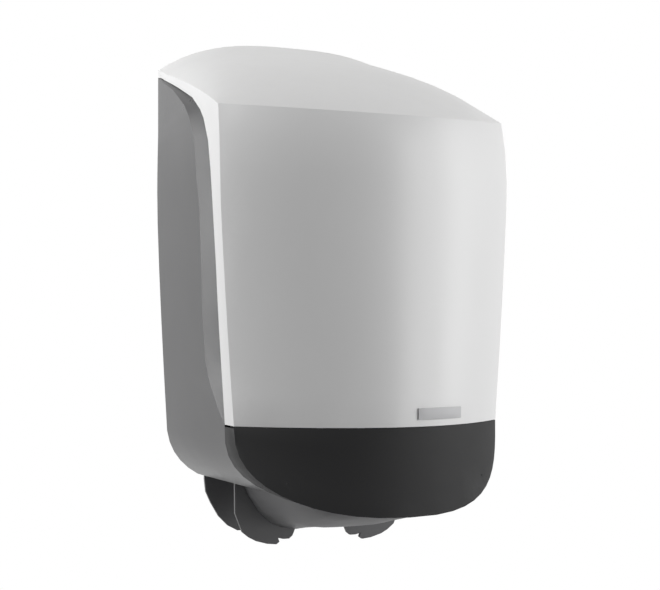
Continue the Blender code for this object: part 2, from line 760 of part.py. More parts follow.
def tray_outline():
    rear = -PLATE_WALL - FIT_GAP
    half = [(TRAY_REAR_HALF_WIDTH, rear), (TRAY_REAR_HALF_WIDTH, -TRAY_NOTCH_DEPTH),
            (TRAY_HALF_WIDTH, -TRAY_NOTCH_DEPTH)]
    for index in range(ACROSS, -1, -1):
        across = TRAY_HALF_WIDTH * index / ACROSS
        half.append((across, TRAY_FRONT_GAP - front_depth(across, TRAY_TOP)))
    return half + [(-across, depth) for across, depth in reversed(half) if across > 0]


def screw_hole(name, place):
    rod = rod_profile(SCREW_SHANK / 2 + FIT_GAP, -SCREW_HEAD, SCREW_HEAD)
    return turned(name, rod, place, None, along="Y", steps=SMALL_STEPS)


def make_screw(name, place, length, steel, tip="+Y"):
    """A pan head screw whose head's underside is at the place and whose tip points along +Y, +Z or -Z."""
    profile = [(0.0, SCREW_HEAD_HEIGHT), (SCREW_HEAD / 3, SCREW_HEAD_HEIGHT),
               (SCREW_HEAD / 2, SCREW_HEAD_HEIGHT / 2), (SCREW_HEAD / 2, 0.0), (SCREW_SHANK / 2, 0.0),
               (SCREW_SHANK / 2, -length), (0.0, -length)]
    screw = turned(name, profile, place, steel, along="Y", steps=SMALL_STEPS)
    if tip != "+Y":
        screw.rotation_euler = (math.pi if tip == "+Z" else 0.0, 0.0, 0.0)
    return screw


def fasten(name, place_x, front, height, held, steel):
    """Drill the held pieces and set a screw whose head bears on the front face at this depth."""
    for piece in held:
        boolean(piece, screw_hole(name + "_hole_" + piece.name, (place_x, 0.0, height)), "DIFFERENCE")
    seat = front + FIT_GAP
    make_screw(name, (place_x, -seat, height), seat - SCREW_END_GAP, steel)


def make_tray(grey, steel, plate):
    tray = flat_outline("roll_tray", tray_outline(), TRAY_WALL, grey, "Z", TRAY_TOP - TRAY_WALL / 2,
                        holes=(circle((0.0, NOZZLE_Y), NOZZLE_HOLE, TURN_STEPS),))
    rear = PLATE_WALL + FIT_GAP
    flange = box("tray_flange", (-TRAY_REAR_HALF_WIDTH, -rear - TRAY_WALL, TRAY_TOP - TRAY_WALL / 2),
                 (TRAY_REAR_HALF_WIDTH, -rear, TRAY_TOP + TRAY_FLANGE_HEIGHT), None)
    boolean(tray, flange, "UNION")
    bore = PIN_DIAMETER / 2 + FIT_GAP
    for side in (-1, 1):
        inner = ARM_INNER_X - RUNNING_GAP - BOSS_WALL
        low, high = sorted((side * inner, side * (inner + BOSS_WALL)))
        boss = box("hinge_boss", (low, HINGE_Y - BOSS_LENGTH / 2, HINGE_Z - BOSS_MARGIN),
                   (high, HINGE_Y + BOSS_LENGTH / 2, TRAY_TOP - TRAY_WALL / 2), None)
        boolean(tray, boss, "UNION")
        hole = turned("hinge_bore", rod_profile(bore, -BOSS_LENGTH, BOSS_LENGTH),
                      (side * inner, HINGE_Y, HINGE_Z), None, along="X", steps=SMALL_STEPS)
        boolean(tray, hole, "DIFFERENCE")
    for index, share in enumerate(TRAY_SCREW_SHARES, start=1):
        fasten("tray_screw_%d" % index, share * TRAY_REAR_HALF_WIDTH, rear + TRAY_WALL,
               TRAY_TOP + TRAY_SCREW_RISE, (tray, plate), steel)
    return tray


def make_nozzle(light, rubber, dark):
    hole = NOZZLE_HOLE / 2 - FIT_GAP
    mouth = NOZZLE_MOUTH / 2
    neck = TRAY_WALL + NOZZLE_WALL
    sleeve = NOZZLE_DROP - NOZZLE_SLEEVE
    rim = NOZZLE_HOLE / 2 + NOZZLE_RIM
    place = (0.0, NOZZLE_Y, TRAY_TOP)
    turned("nozzle_cup", [
        (hole - NOZZLE_WALL, NOZZLE_LIP + FIT_GAP), (rim, NOZZLE_LIP + FIT_GAP), (rim, FIT_GAP),
        (hole, FIT_GAP), (hole, -neck), (mouth + NOZZLE_WALL, -sleeve),
        (mouth + NOZZLE_WALL, -NOZZLE_DROP), (mouth, -NOZZLE_DROP), (mouth, -sleeve),
        (hole - NOZZLE_WALL, -neck)], place, light)
    top = -NOZZLE_DROP - FIT_GAP
    membrane = turned("nozzle_membrane", ring_profile(MEMBRANE_BORE / 2, mouth + NOZZLE_WALL,
                                                      top - MEMBRANE_WALL, top), place, rubber)
    for index in range(3):
        slit = box("membrane_slit", (-SLIT_LENGTH / 2, -SLIT_WIDTH / 2, -OVERRUN),
                   (SLIT_LENGTH / 2, SLIT_WIDTH / 2, OVERRUN), None)
        slit.location = (0.0, NOZZLE_Y, TRAY_TOP + top - MEMBRANE_WALL / 2)
        slit.rotation_euler = (0.0, 0.0, math.pi * index / 3)
        boolean(membrane, slit, "DIFFERENCE")
    inner = mouth + NOZZLE_WALL + FIT_GAP
    seat = top - MEMBRANE_WALL - FIT_GAP
    turned("nozzle_ring", [
        (inner, RING_OVERLAP - NOZZLE_DROP), (inner + RING_WALL, RING_OVERLAP - NOZZLE_DROP),
        (inner + RING_WALL, seat - RING_LIP), (mouth, seat - RING_LIP), (mouth, seat), (inner, seat)],
        place, dark)


def chin_height(drop, across):
    """Height of the chin at a place across a rib that lies this far below the tray in the middle."""
    top = TRAY_TOP - TRAY_WALL - CHIN_TOP_GAP
    return blend(top - drop, top, (across / CHIN_HALF_WIDTH) ** CHIN_POWER)


def chin_rows():
    """Underside below the tray, from its front edge behind the skirt's rim back to the tear ears."""
    outlet_share = OUTLET_HALF_WIDTH / CHIN_HALF_WIDTH
    shares = (0.0, outlet_share / 2, outlet_share, *CHIN_COLUMN_SHARES)
    front = []
    for share in shares:
        across = CHIN_HALF_WIDTH * share
        turn = corner_turn(width_at(SEAM_HEIGHT), across)
        low = rounded_corner(width_at(SEAM_HEIGHT), SKIRT_DROP, turn)[1] + CHIN_RISE
        drop = TRAY_TOP - TRAY_WALL - CHIN_TOP_GAP - low
        front.append((across, CHIN_FRONT_GAP - rim_rear_at(turn), chin_height(drop, across)))
    rows = [front]
    last_depth = -EAR_Y + EAR_WALL / 2 + CHIN_REAR_GAP
    ribs = [(SIDE_DEPTH * depth, CHIN_DROP * drop) for depth, drop in CHIN_RIB_SHARES]
    for depth, drop in ribs + [(last_depth, CHIN_DROP)]:
        row = []
        for ahead in front:
            forward = min(depth, -ahead[1] - CHIN_FRONT_GAP)
            row.append((ahead[0], -forward, chin_height(drop, ahead[0])))
        rows.append(row)
    return rows


def make_chin(grey, steel, tray):
    rows = chin_rows()
    open_from = len(rows) - 3
    skipped = {(row, column) for row in range(open_from, len(rows)) for column in (0, 1)}
    chin = shell("outlet_chin", rows, CHIN_WALL, grey, mirrored=True, skipped=skipped)
    depth_share, drop_share = CHIN_RIB_SHARES[CHIN_POST_RIB]
    bottom = chin_height(CHIN_DROP * drop_share, CHIN_POST_X) + CHIN_POST_SINK
    top = TRAY_TOP - TRAY_WALL - FIT_GAP
    for side, label in ((-1, "left"), (1, "right")):
        place = (side * CHIN_POST_X, -SIDE_DEPTH * depth_share, 0.0)
        post = turned("chin_post", rod_profile(CHIN_POST_DIAMETER / 2, bottom, top), place, None,
                      steps=SMALL_STEPS)
        boolean(chin, post, "UNION")
        tip = TRAY_TOP - CHIN_SCREW_LENGTH
        bore = rod_profile(SCREW_SHANK / 2 + FIT_GAP, tip - SCREW_END_GAP, TRAY_TOP + OVERRUN)
        for held in (chin, tray):
            hole = turned("chin_bore_" + label + "_" + held.name, bore, place, None, steps=SMALL_STEPS)
            boolean(held, hole, "DIFFERENCE")
        make_screw("chin_screw_" + label, (place[0], place[1], TRAY_TOP + FIT_GAP), CHIN_SCREW_LENGTH, steel,
                   "-Z")


def make_ears(dark, tray):
    """Each ear hangs from a tab that grips in a slot of the tray."""
    top = TRAY_TOP - TRAY_WALL - FIT_GAP
    inner, outer = [EAR_HALF_WIDTH * share for share in EAR_TAB_SHARES]
    tab = [(inner, top), (inner, top + EAR_TAB_RISE), (outer, top + EAR_TAB_RISE), (outer, top)]
    outline = [(EAR_HALF_WIDTH * wide, top - EAR_DROP * drop) for wide, drop in EAR_SHARES] + tab
    for side, label in ((-1, "left"), (1, "right")):
        flat_outline("tear_ear_" + label, [(side * across, height) for across, height in outline],
                     EAR_WALL, dark, "Y", EAR_Y)
        low, high = sorted((side * (inner - FIT_GAP), side * (outer + FIT_GAP)))
        slot = box("ear_slot", (low, EAR_Y - EAR_WALL / 2 - FIT_GAP, TRAY_TOP - TRAY_WALL - OVERRUN),
                   (high, EAR_Y + EAR_WALL / 2 + FIT_GAP, TRAY_TOP + OVERRUN), None)
        boolean(tray, slot, "DIFFERENCE")


def make_hinges(steel, plastic):
    inner = ARM_INNER_X - RUNNING_GAP - BOSS_WALL
    end = ARM_INNER_X + ARM_WALL
    bush_inner, bush_outer = bush_radii()
    for side, label in ((-1, "left"), (1, "right")):
        head = -side * (inner - FIT_GAP)
        pin = turned("hinge_pin_" + label, [
            (0.0, PIN_HEAD_LENGTH), (PIN_HEAD / 2, PIN_HEAD_LENGTH), (PIN_HEAD / 2, 0.0),
            (PIN_DIAMETER / 2, 0.0), (PIN_DIAMETER / 2, inner - end), (0.0, inner - end)],
            (-head, HINGE_Y, HINGE_Z), steel, steps=SMALL_STEPS)
        pin.rotation_euler = (0.0, -side * math.pi / 2, 0.0)
        place = (side * (ARM_INNER_X + ARM_WALL / 2), HINGE_Y, HINGE_Z)
        bush = ring_profile(bush_inner, bush_outer, -ARM_WALL / 2, ARM_WALL / 2)
        turned("hinge_bush_" + label, bush, place, plastic, along="X", steps=SMALL_STEPS)


def bar_slot(name, low, high):
    half_wide = BAR_WIDTH / 2 + RUNNING_GAP
    half_thick = BAR_THICK / 2 + RUNNING_GAP
    return box(name, (LOCK_X - half_wide, BAR_Y - half_thick, low),
               (LOCK_X + half_wide, BAR_Y + half_thick, high), None)


def bar_top():
    return catch_top() - BAR_TOP_DROP


def catch_top():
    """Top of the catch, this far below the crown of the cover."""
    return crown_at(LOCK_X) - CATCH_HEADROOM


def make_lock_bracket(dark, steel, plate):
    rear = PLATE_WALL + FIT_GAP
    low_x, high_x = LOCK_X - BRACKET_WIDTH / 2, LOCK_X + BRACKET_WIDTH / 2
    bracket = box("lock_bracket", (low_x, -BRACKET_DEPTH, BRACKET_BOTTOM),
                  (high_x, -rear, BRACKET_BOTTOM + BRACKET_WALL), dark)
    web = box("bracket_web", (low_x, -rear - BRACKET_WALL, BRACKET_BOTTOM),
              (high_x, -rear, BRACKET_TOP), None)
    upper = box("bracket_upper", (low_x, BAR_Y - BRACKET_UPPER_REACH, BRACKET_TOP - BRACKET_WALL),
                (high_x, -rear, BRACKET_TOP), None)
    boolean(bracket, web, "UNION")
    boolean(bracket, upper, "UNION")
    boolean(bracket, bar_slot("bracket_slot", BRACKET_BOTTOM - OVERRUN, BRACKET_TOP + OVERRUN), "DIFFERENCE")
    bore = rod_profile(KEY_DIAMETER / 2 + RUNNING_GAP, -KEY_DIAMETER, KEY_DIAMETER)
    key_hole = turned("bracket_key_hole", bore, (LOCK_X, KEY_Y, BRACKET_BOTTOM), None)
    boolean(bracket, key_hole, "DIFFERENCE")
    for index, rise in enumerate(BRACKET_SCREW_RISES, start=1):
        fasten("bracket_screw_%d" % index, LOCK_X, rear + BRACKET_WALL, BRACKET_BOTTOM + rise,
               (bracket, plate), steel)


def make_bar_guide(dark, steel, plate):
    rear = PLATE_WALL + FIT_GAP
    half = BRACKET_WIDTH / 2
    front = BAR_Y - BAR_THICK / 2 - RUNNING_GAP - GUIDE_FRONT_WALL
    bottom = bar_top() - GUIDE_DROP
    top = bottom + GUIDE_HEIGHT
    guide = box("bar_guide", (LOCK_X - half, front, bottom), (LOCK_X + half, -rear, top), dark)
    foot = box("guide_foot", (LOCK_X - half, -rear - BRACKET_WALL, bottom),
               (LOCK_X + half, -rear, top + GUIDE_FOOT_RISE), None)
    boolean(guide, foot, "UNION")
    boolean(guide, bar_slot("guide_slot", bottom - OVERRUN, top + OVERRUN), "DIFFERENCE")
    fasten("guide_screw", LOCK_X, rear + BRACKET_WALL, bottom + GUIDE_SCREW_RISE, (guide, plate), steel)


def make_lock_bar(steel_grey, button_grey):
    half_wide, half_thick = BAR_WIDTH / 2, BAR_THICK / 2
    top = bar_top()
    bar = box("lock_bar", (LOCK_X - half_wide, BAR_Y - half_thick, BAR_BOTTOM),
              (LOCK_X + half_wide, BAR_Y + half_thick, top), steel_grey)
    collar = box("bar_collar", (LOCK_X - COLLAR_WIDTH / 2, BAR_Y - COLLAR_DEPTH / 2, COLLAR_BOTTOM),
                 (LOCK_X + COLLAR_WIDTH / 2, BAR_Y + COLLAR_DEPTH / 2, COLLAR_BOTTOM + COLLAR_HEIGHT), None)
    nose = box("bar_nose", (LOCK_X - half_wide, CATCH_Y + CATCH_GAP, top - NOSE_HEIGHT),
               (LOCK_X + half_wide, BAR_Y, top), None)
    boolean(bar, collar, "UNION")
    boolean(bar, nose, "UNION")
    height = BAR_BOTTOM - FIT_GAP - BUTTON_BOTTOM
    radius = BUTTON_DIAMETER / 2
    profile = [(0.0, height), (radius, height), (radius, BUTTON_EDGE), (radius - BUTTON_EDGE, 0.0),
               (0.0, 0.0)]
    turned("release_button", profile, (LOCK_X, BAR_Y, BUTTON_BOTTOM), button_grey)


def make_lock_spring(steel):
    """Helix between the bar's collar and the bracket's upper plate, with straight ends."""
    low = COLLAR_BOTTOM + COLLAR_HEIGHT + FIT_GAP
    high = BRACKET_TOP - BRACKET_WALL - FIT_GAP
    radius = SPRING_COIL / 2
    points = [(radius, 0.0, low)]
    steps = SPRING_TURNS * SPRING_TURN_POINTS
    for index in range(steps + 1):
        turn = 2 * math.pi * index / SPRING_TURN_POINTS
        height = blend(low + SPRING_WIRE, high - SPRING_WIRE, index / steps)
        points.append((radius * math.cos(turn), radius * math.sin(turn), height))
    points.append((radius, 0.0, high))
    curve = bpy.data.curves.new("lock_spring", "CURVE")
    curve.dimensions = "3D"
    spline = curve.splines.new("POLY")
    spline.points.add(len(points) - 1)
    for point, place in zip(spline.points, points):
        point.co = (*place, 1.0)
    curve.bevel_depth = SPRING_WIRE / 2
    curve.bevel_resolution = 1
    curve.use_fill_caps = True
    made = add_object("lock_spring", curve, steel)
    made.location = (LOCK_X, BAR_Y, 0.0)
    pitch = (high - low - 2 * SPRING_WIRE) / SPRING_TURNS
    print("least gap between the spring's turns: %.2f mm" % ((pitch - SPRING_WIRE) * 1000))


def make_key(brass, steel):
    rod = rod_profile(KEY_DIAMETER / 2, 0.0, KEY_TOP - KEY_BOTTOM)
    barrel = turned("key_barrel", rod, (LOCK_X, KEY_Y, KEY_BOTTOM), brass)
    slot = box("key_slot", (LOCK_X - KEY_SLOT_WIDTH / 2, KEY_Y - KEY_DIAMETER / 3, KEY_BOTTOM - OVERRUN),
               (LOCK_X + KEY_SLOT_WIDTH / 2, KEY_Y + KEY_DIAMETER / 3, KEY_BOTTOM + KEY_SLOT_DEPTH), None)
    boolean(barrel, slot, "DIFFERENCE")
    box("key_cam", (LOCK_X - CAM_WIDTH / 2, KEY_Y - CAM_WIDTH / 2, KEY_TOP + FIT_GAP),
        (LOCK_X + CAM_WIDTH / 2, BAR_Y - BAR_THICK / 2 - CAM_BAR_GAP, KEY_TOP + FIT_GAP + CAM_WALL), steel)


def cover_boss(name, low_x, high_x, front, rear, bottom):
    """A block that stands on its head in the cover's top: its upper face follows the slope of the top."""
    corners = [(low_x, front), (high_x, front), (high_x, rear), (low_x, rear)]
    points = [(across, -depth, bottom) for across, depth in corners]
    for across, depth in corners:
        forward = depth / front_depth(across, CORNER_HEIGHT)
        points.append((across, -depth, top_height(across, forward) - COVER_WALL / 2))
    sides = [(index, (index + 1) % 4, (index + 1) % 4 + 4, index + 4) for index in range(4)]
    mesh = bpy.data.meshes.new(name)
    mesh.from_pydata(points, [], [(3, 2, 1, 0), (4, 5, 6, 7), *sides])
    return add_object(name, mesh, None)


def make_catch(steel, cover):
    low_x, high_x = LOCK_X - CATCH_WIDTH / 2, LOCK_X + CATCH_WIDTH / 2
    top = catch_top()
    boss = cover_boss("catch_boss", low_x, high_x, CATCH_FOOT - CATCH_Y, -CATCH_Y, top + FIT_GAP)
    boolean(cover, boss, "UNION")
    high = (high_x, CATCH_Y, top)
    catch = box("cover_catch", (low_x, CATCH_Y - CATCH_WALL, top - CATCH_HEIGHT), high, steel)
    foot = box("catch_foot", (low_x, CATCH_Y - CATCH_FOOT, top - CATCH_WALL), high, None)
    boolean(catch, foot, "UNION")
    screw_y = CATCH_Y - (CATCH_FOOT + CATCH_WALL) / 2
    seat = top - CATCH_WALL - FIT_GAP
    bore = rod_profile(SCREW_SHANK / 2 + FIT_GAP, seat - OVERRUN, seat + CATCH_SCREW_LENGTH + SCREW_END_GAP)
    for held in (catch, cover):
        hole = turned("catch_bore_" + held.name, bore, (LOCK_X, screw_y, 0.0), None, steps=SMALL_STEPS)
        boolean(held, hole, "DIFFERENCE")
    make_screw("catch_screw", (LOCK_X, screw_y, seat), CATCH_SCREW_LENGTH, steel, "+Z")


def drill_panel(panel):
    """Openings of the right panel for the button and the key barrel."""
    openings = (("button_hole", BAR_Y, BUTTON_DIAMETER), ("key_hole", KEY_Y, KEY_DIAMETER))
    for name, depth, diameter in openings:
        rod = rod_profile(diameter / 2 + RUNNING_GAP, -HOUSING_DROP / 2, HOUSING_DROP / 4)
        hole = turned(name, rod, (LOCK_X, depth, SEAM_HEIGHT - HOUSING_DROP / 2), None)
        boolean(panel, hole, "DIFFERENCE")


def main():
    global parts, cutters
    clear_scene()
    parts = new_collection("centrefeed_dispenser")
    cutters = new_collection("cutters")
    white = make_material("white cover", (0.78, 0.78, 0.78), 0.38)
    dark = make_material("dark grey housing", (0.10, 0.10, 0.105), 0.45)
    black = make_material("black skirt", (0.018, 0.018, 0.019), 0.5)
    grey = make_material("grey chin", (0.13, 0.13, 0.135), 0.42)
    light = make_material("light grey insert", (0.45, 0.45, 0.46), 0.4)
    rubber = make_material("black rubber", (0.02, 0.02, 0.02), 0.8)
    steel = make_material("zinc plated steel", (0.55, 0.56, 0.58), 0.35, 1.0)
    brass = make_material("nickel plated brass", (0.62, 0.60, 0.55), 0.3, 1.0)

    plate = make_back_plate(dark)
    panels = make_side_panels(dark, steel, plate)
    drill_panel(panels[1])
    tray = make_tray(grey, steel, plate)
    make_nozzle(light, rubber, dark)
    make_chin(grey, steel, tray)
    make_ears(dark, tray)
    cover = make_cover_shell(white)
    make_skirt(black)
    make_label(light)
    make_hinges(steel, light)
    make_lock_bracket(dark, steel, plate)
    make_bar_guide(dark, steel, plate)
    make_lock_bar(steel, dark)
    make_lock_spring(steel)
    make_key(brass, steel)
    make_catch(steel, cover)


main()
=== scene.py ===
# %% [markdown]
# # A wall-hung paper roll dispenser, dressed for a studio picture
#
# The solid model arrives finished: every wall, hinge, lock and screw already has its size and place. This
# lesson gives those pieces their surfaces and sets them in a plain studio. Nothing here moves a solid, so the
# picture and the moving model always agree.

# %% Load the solid model
import math

import bmesh
import bpy
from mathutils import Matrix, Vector

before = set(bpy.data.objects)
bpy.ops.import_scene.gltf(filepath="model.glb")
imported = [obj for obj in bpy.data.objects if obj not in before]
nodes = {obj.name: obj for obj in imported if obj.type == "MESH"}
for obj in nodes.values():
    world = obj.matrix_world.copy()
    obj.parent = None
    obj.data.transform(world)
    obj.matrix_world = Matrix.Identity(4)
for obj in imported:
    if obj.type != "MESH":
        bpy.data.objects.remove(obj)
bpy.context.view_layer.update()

# %% [markdown]
# ## The camera
#
# A product picture is taken with a long lens from a little to one side, so that upright edges stay upright.
# The camera here looks level, and the frame is shifted upwards instead of tilting the camera: a tilt would
# make the sides lean together, and a shift keeps them parallel.

# %% Place the camera
VIEW_AZIMUTH = math.radians(22.5)
CAMERA_PLACE = (-0.41815, -1.10803, -0.050)
FOCAL_PIXELS = 1305
FRAME_WIDTH, FRAME_HEIGHT = 660, 590
HORIZON_ROW = 338
SENSOR_WIDTH = 36.0

lens = bpy.data.cameras.new("product_camera")
lens.sensor_width = SENSOR_WIDTH
lens.lens = FOCAL_PIXELS / FRAME_WIDTH * SENSOR_WIDTH
lens.shift_y = (HORIZON_ROW - FRAME_HEIGHT / 2) / FRAME_WIDTH
camera = bpy.data.objects.new("product_camera", lens)
camera.location = CAMERA_PLACE
camera.rotation_euler = (math.pi / 2, 0.0, -VIEW_AZIMUTH)
bpy.context.scene.collection.objects.link(camera)
bpy.context.scene.camera = camera
print("lens %.1f mm" % lens.lens)

# %% [markdown]
# ## A few helpers for nodes
#
# The room, the floor and every finish below are node trees. The same three steps come back again and again:
# feeding a socket, calculating with two values, and stretching one range of values to another. A small
# function for each keeps the cells that follow short.

# %% Helpers for node trees
def feed(tree, socket, value):
    """Gives a socket the output of another node, or a plain number or colour."""
    if isinstance(value, bpy.types.NodeSocket):
        tree.links.new(value, socket)
    else:
        socket.default_value = value


def math_node(tree, operation, first, second):
    """A math node whose two inputs are sockets or numbers."""
    step = tree.nodes.new("ShaderNodeMath")
    step.operation = operation
    feed(tree, step.inputs[0], first)
    feed(tree, step.inputs[1], second)
    return step.outputs[0]


def range_node(tree, value, start=0.0, end=1.0, low=0.0, high=1.0, smooth=False):
    """Stretches start..end to low..high; a smooth one eases in and out."""
    step = tree.nodes.new("ShaderNodeMapRange")
    if smooth:
        step.interpolation_type = "SMOOTHSTEP"
    feed(tree, step.inputs["Value"], value)
    feed(tree, step.inputs["From Min"], start)
    feed(tree, step.inputs["From Max"], end)
    feed(tree, step.inputs["To Min"], low)
    feed(tree, step.inputs["To Max"], high)
    return step.outputs["Result"]


print("three helpers ready")

# %% [markdown]
# ## The studio
#
# The room itself gives a little light from all round, slightly more from below, as a pale floor sends light
# back up. The camera sees the room as plain white. So do mirrored and see-through rays, because polished
# metal should show the same white that surrounds the object. Only the diffuse light keeps the room's own low
# strength, so that the lamps can bring out the shapes.

# %% Build the world's light
LIGHT_FROM_BELOW, LIGHT_FROM_ABOVE = 0.16, 0.10
CHANGE_START, CHANGE_END = -0.35, -0.05

bpy.context.scene.view_settings.view_transform = "Standard"
world = bpy.data.worlds.new("studio_room")
bpy.context.scene.world = world
world.use_nodes = True
room = world.node_tree
room.nodes.clear()

place = room.nodes.new("ShaderNodeTexCoord")
upright = room.nodes.new("ShaderNodeSeparateXYZ")
feed(room, upright.inputs[0], place.outputs["Generated"])
glow = range_node(room, upright.outputs["Z"], CHANGE_START, CHANGE_END, LIGHT_FROM_BELOW, LIGHT_FROM_ABOVE)
rays = room.nodes.new("ShaderNodeLightPath")
seen = math_node(room, "MAXIMUM", rays.outputs["Is Camera Ray"], rays.outputs["Is Transmission Ray"])
shown = math_node(room, "MAXIMUM", seen, rays.outputs["Is Glossy Ray"])
strength = room.nodes.new("ShaderNodeMix")
feed(room, strength.inputs["Factor"], shown)
feed(room, strength.inputs["A"], glow)
feed(room, strength.inputs["B"], 1.0)
light = room.nodes.new("ShaderNodeBackground")
light.inputs["Color"].default_value = (1.0, 1.0, 1.0, 1.0)
feed(room, light.inputs["Strength"], strength.outputs["Result"])
out = room.nodes.new("ShaderNodeOutputWorld")
feed(room, out.inputs["Surface"], light.outputs[0])
print("the room's light runs from", LIGHT_FROM_BELOW, "below to", LIGHT_FROM_ABOVE, "above")

# %% [markdown]
# ### The lamps
#
# The lamps are large rectangles, because a small lamp would draw hard spots on smooth plastic. A lamp near
# the camera would flatten the bowed front, so two tall ones stand at the right and light it from one side.
# One hangs high on the left for the top. The strips at the left and behind are there for the grey sides: a
# strip shows more in a finger scoop than in the flat panel beside it, which makes the scoop read as hollow.
# Each lamp is aimed at the middle of the object.

# %% Hang the lamps
AIM = Vector((0.0, -0.12, 0.0))
LAMP_DISTANCE = 1.5


def soft_lamp(name, azimuth, elevation, size, power):
    """A rectangular lamp at an angle seen from above: 0 is in front and 90 is to the right."""
    turn, rise = math.radians(azimuth), math.radians(elevation)
    direction = Vector((math.sin(turn) * math.cos(rise), -math.cos(turn) * math.cos(rise), math.sin(rise)))
    data = bpy.data.lights.new(name, "AREA")
    data.shape = "RECTANGLE"
    data.size, data.size_y = size
    data.energy = power
    lamp = bpy.data.objects.new(name, data)
    lamp.location = AIM + direction * LAMP_DISTANCE
    lamp.rotation_euler = (-direction).to_track_quat("-Z", "Y").to_euler()
    bpy.context.scene.collection.objects.link(lamp)
    print("%s: %.2f W" % (name, power))


soft_lamp("front_right_lamp", 36, 10, size=(0.6, 1.3), power=8.9)
soft_lamp("right_lamp", 68, 10, size=(0.6, 1.3), power=8.6)
soft_lamp("left_lamp", -88, 8, size=(0.3, 1.0), power=2.4)
soft_lamp("left_strip", -118, 14, size=(0.3, 1.35), power=10.0)
soft_lamp("rear_strip", -160, 18, size=(0.7, 0.32), power=0.15)
soft_lamp("upper_left_lamp", -90, 50, size=(0.8, 0.8), power=9.3)

# %% [markdown]
# ### The floor
#
# The dispenser hangs on a wall, so the floor lies well below it. The wall itself is left out, because the
# picture shows the object cut free on white. The floor takes a soft shadow near the object and turns clear
# before its edge, so that the edge never shows. From below it is clear, or it would hide the object.

# %% Make a material, and paint for the floor
FLOOR_SHADE, FLOOR_ROUGHNESS = (0.82, 0.82, 0.82, 1.0), 0.7
FADE_START, FADE_END = 0.25, 1.05


def new_material(name):
    """A material with its node tree and its Principled shader."""
    material = bpy.data.materials.new(name)
    material.use_nodes = True
    tree = material.node_tree
    return material, tree, tree.nodes["Principled BSDF"]


def floor_paint():
    """Pale paint that takes the shadow and turns clear towards the floor's edge, and from below."""
    paint, tree, shader = new_material("pale floor")
    shader.inputs["Base Color"].default_value = FLOOR_SHADE
    shader.inputs["Roughness"].default_value = FLOOR_ROUGHNESS
    place = tree.nodes.new("ShaderNodeTexCoord")
    away = tree.nodes.new("ShaderNodeVectorMath")
    away.operation = "LENGTH"
    feed(tree, away.inputs[0], place.outputs["Object"])
    faded = range_node(tree, away.outputs["Value"], FADE_START, FADE_END, smooth=True)
    side = tree.nodes.new("ShaderNodeNewGeometry")
    clear = tree.nodes.new("ShaderNodeBsdfTransparent")
    laid = tree.nodes.new("ShaderNodeMixShader")
    feed(tree, laid.inputs["Fac"], math_node(tree, "MAXIMUM", faded, side.outputs["Backfacing"]))
    feed(tree, laid.inputs[1], shader.outputs[0])
    feed(tree, laid.inputs[2], clear.outputs[0])
    feed(tree, tree.nodes["Material Output"].inputs["Surface"], laid.outputs[0])
    return paint


pale_floor = floor_paint()
print("paint:", pale_floor.name)

# %% [markdown]
# The floor's mesh is a flat grid. It isn't part of the dispenser.

# %% Lay the floor
FLOOR_HEIGHT = -0.62
FLOOR_HALF_SIDE = 1.1
FLOOR_SQUARES = 24

shape = bmesh.new()
bmesh.ops.create_grid(shape, x_segments=FLOOR_SQUARES, y_segments=FLOOR_SQUARES, size=FLOOR_HALF_SIDE)
floor_mesh = bpy.data.meshes.new("studio_floor")
shape.to_mesh(floor_mesh)
shape.free()
floor_mesh.materials.append(pale_floor)
floor = bpy.data.objects.new("studio_floor", floor_mesh)
floor.location = (0.0, 0.0, FLOOR_HEIGHT)
bpy.context.scene.collection.objects.link(floor)
print("floor at", FLOOR_HEIGHT)

# %% [markdown]
# ## Effects that several surfaces share
#
# Moulded plastic looks real through small things: a grain cut into the mould, a colour that drifts a little,
# edges that hands have rubbed, and dust that settles on what faces up. Each of these is a node group with
# its own sockets, so one effect can serve every plastic with other numbers. The helpers below make a group
# with its sockets, a noise and a mix of two colours.

# %% Helpers for the effects
def effect_group(name, inputs, outputs):
    """A shader group: inputs are (name, value) pairs and outputs are (name, kind) pairs."""
    group = bpy.data.node_groups.new(name, "ShaderNodeTree")
    for label, value in inputs:
        kind = "NodeSocketColor" if isinstance(value, tuple) else "NodeSocketFloat"
        socket = group.interface.new_socket(name=label, in_out="INPUT", socket_type=kind)
        socket.default_value = value
    for label, kind in outputs:
        group.interface.new_socket(name=label, in_out="OUTPUT", socket_type="NodeSocket" + kind)
    return group, group.nodes.new("NodeGroupInput"), group.nodes.new("NodeGroupOutput")


def noise_node(tree, scale, detail, roughness=0.5):
    """Noise that is fixed to the object; the scale counts the features in a metre."""
    place = tree.nodes.new("ShaderNodeTexCoord")
    noise = tree.nodes.new("ShaderNodeTexNoise")
    feed(tree, noise.inputs["Vector"], place.outputs["Object"])
    feed(tree, noise.inputs["Scale"], scale)
    feed(tree, noise.inputs["Detail"], detail)
    feed(tree, noise.inputs["Roughness"], roughness)
    return noise.outputs["Fac"]


def mixed_colour(tree, mask, first, second):
    """The first colour where the mask is black and the second where it is white."""
    mix = tree.nodes.new("ShaderNodeMix")
    mix.data_type = "RGBA"
    feed(tree, mix.inputs["Factor"], mask)
    feed(tree, mix.inputs["A"], first)
    feed(tree, mix.inputs["B"], second)
    return mix.outputs["Result"]


print("helpers ready")

# %% [markdown]
# ### Mould grain
#
# A mould is etched so that its plastic comes out finely pebbled. Displacing the mesh would need millions of
# faces, so the grain is only a height for a Bump node. A fine pebble and a slower orange-peel wave are added,
# because real mouldings have both.

